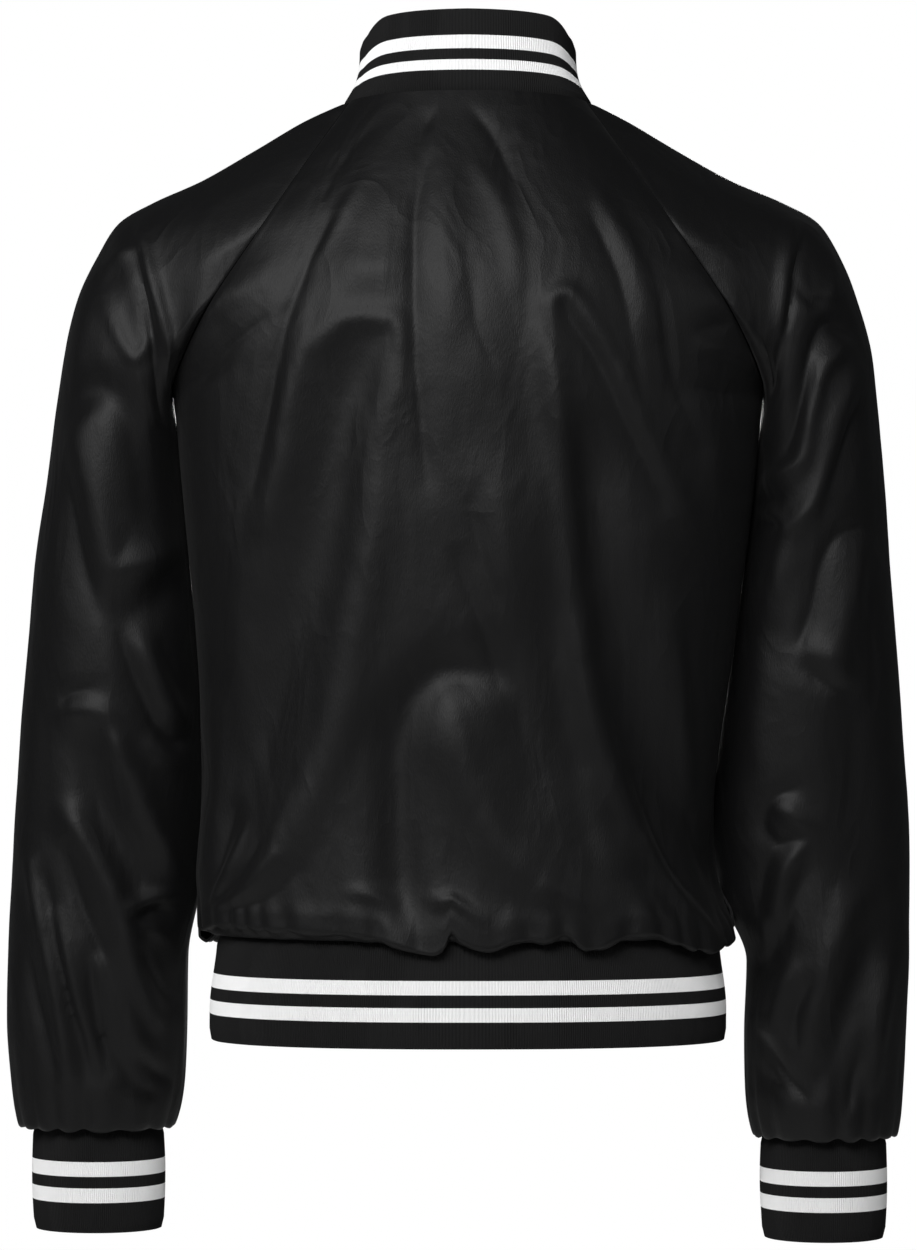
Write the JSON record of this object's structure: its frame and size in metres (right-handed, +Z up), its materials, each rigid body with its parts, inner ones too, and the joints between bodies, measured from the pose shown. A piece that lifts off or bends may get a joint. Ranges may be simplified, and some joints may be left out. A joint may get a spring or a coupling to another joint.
{
  "type": "varsity jacket",
  "caption": "Black satin varsity jacket in worn hollow form: raglan sleeves, striped rib-knit collar, cuffs and waistband, snap front.",
  "frame": {"origin": "middle of the neck, level with the sides of the neck seam, where the jacket is held on the wearer's neck and shoulders", "axes": "+Z up, the front faces -Y, the back faces +Y, and +X is the wearer's left"},
  "size_m": [0.6543, 0.2592, 0.8824],
  "materials": {
    "satin": "black satin with a soft broad sheen",
    "rib_knit": "matte black one-by-one rib knit with two white stripes",
    "snap": "black lacquered snap caps"
  },
  "bodies": {
    "root": {"back": "satin", "front_left": "satin", "front_right": "satin", "sleeve_left": "satin", "sleeve_right": "satin", "collar": "rib_knit", "waistband": "rib_knit", "cuff_left": "rib_knit", "cuff_right": "rib_knit", "snap_1": "snap", "snap_2": "snap", "snap_3": "snap", "snap_4": "snap", "snap_5": "snap", "snap_6": "snap"}
  },
  "joints": []
}
